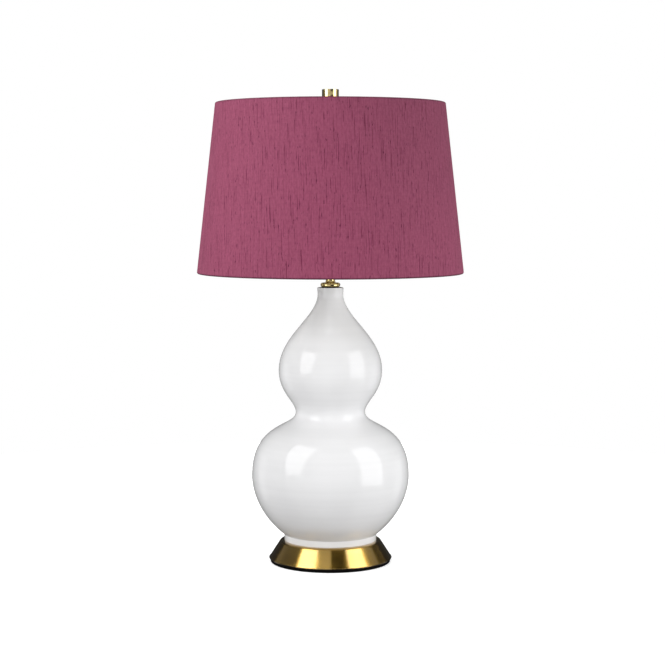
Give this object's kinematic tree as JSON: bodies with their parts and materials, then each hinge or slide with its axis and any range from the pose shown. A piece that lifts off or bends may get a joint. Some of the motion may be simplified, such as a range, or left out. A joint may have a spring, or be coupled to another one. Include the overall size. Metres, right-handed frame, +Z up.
{
  "type": "table lamp",
  "caption": "Table lamp with a double-gourd glazed ceramic body on a brass base and a tapered slubbed cloth shade carried on a harp with a finial.",
  "frame": {"origin": "centre of the foot pad's underside, on the table", "axes": "+Z up along the lamp's axis, +Y to the rear where the flex comes in, +X to the right"},
  "size_m": [0.4054, 0.4054, 0.7213],
  "materials": {
    "antique_brass": "brushed, aged and lacquered",
    "polished_brass": "satin polished",
    "contact_brass": "plain",
    "plated_wire": "brass plated",
    "white_glaze": "glossy glaze",
    "black_rubber": "matt",
    "black_steel": "satin black",
    "zinc_steel": "zinc plated",
    "cast_iron": "as cast",
    "nylon": "moulded",
    "phenolic": "moulded",
    "fibre_liner": "pressed board",
    "opal_glass": "opal",
    "bulb_metal": "plain",
    "bulb_solder": "soldered",
    "black_glass": "fused",
    "raspberry_silk": "slubbed faux silk",
    "white_lining": "smooth",
    "white_wire": "white enamel"
  },
  "bodies": {
    "root": {"foot_pad": "black_rubber", "closing_plate": "black_steel", "plate_screws": "zinc_steel", "base_weight": "cast_iron", "base_shell": "antique_brass", "cord_grommet": "black_rubber", "rod_nut": "zinc_steel", "rod_washer": "zinc_steel", "threaded_rod": "zinc_steel", "foot_gasket": "black_rubber", "gourd_body": "white_glaze", "floor_bush": "nylon", "neck_gasket": "black_rubber", "vase_cap": "polished_brass", "neck_tube": "polished_brass", "harp_saddle": "plated_wire", "holder_cap": "polished_brass", "cap_set_screw": "zinc_steel", "holder_shell": "polished_brass", "holder_liner": "fibre_liner", "holder_core": "phenolic", "terminal_screws": "contact_brass", "screw_shell": "contact_brass", "centre_contact": "contact_brass"},
    "harp": {"harp_loop": "plated_wire", "harp_stud": "polished_brass"},
    "sleeve_left": {"harp_sleeve_left": "plated_wire"},
    "sleeve_right": {"harp_sleeve_right": "plated_wire"},
    "shade": {"shade_fabric": "raspberry_silk", "shade_lining": "white_lining", "shade_top_frame": "white_wire", "shade_bottom_ring": "white_wire"},
    "finial": {"finial": "polished_brass"},
    "bulb": {"bulb_contact": "bulb_solder", "bulb_insulator": "black_glass", "bulb_cap": "bulb_metal", "bulb_envelope": "opal_glass"},
    "switch": {"switch_spindle": "zinc_steel", "switch_knob": "phenolic"}
  },
  "joints": [
    {"name": "harp_lift", "type": "slide", "parent": "root", "child": "harp", "axis": [0, 0, 1], "range_m": [0, 0.01]},
    {"name": "sleeve_left_lift", "type": "slide", "parent": "harp", "child": "sleeve_left", "axis": [0, 0, 1], "range_m": [0, 0.012]},
    {"name": "sleeve_right_lift", "type": "slide", "parent": "harp", "child": "sleeve_right", "axis": [0, 0, 1], "range_m": [0, 0.012]},
    {"name": "shade_turn", "type": "hinge", "parent": "harp", "child": "shade", "pos_m": [0, 0, 0.693], "axis": [0, 0, 1], "continuous": true},
    {"name": "finial_turn", "type": "hinge", "parent": "harp", "child": "finial", "pos_m": [0, 0, 0.7], "axis": [0, 0, 1], "continuous": true},
    {"name": "bulb_turn", "type": "hinge", "parent": "root", "child": "bulb", "pos_m": [0, 0, 0.49], "axis": [0, 0, 1], "continuous": true},
    {"name": "switch_turn", "type": "hinge", "parent": "root", "child": "switch", "pos_m": [0, -0.02, 0.4661], "axis": [0, -1, 0], "continuous": true}
  ]
}
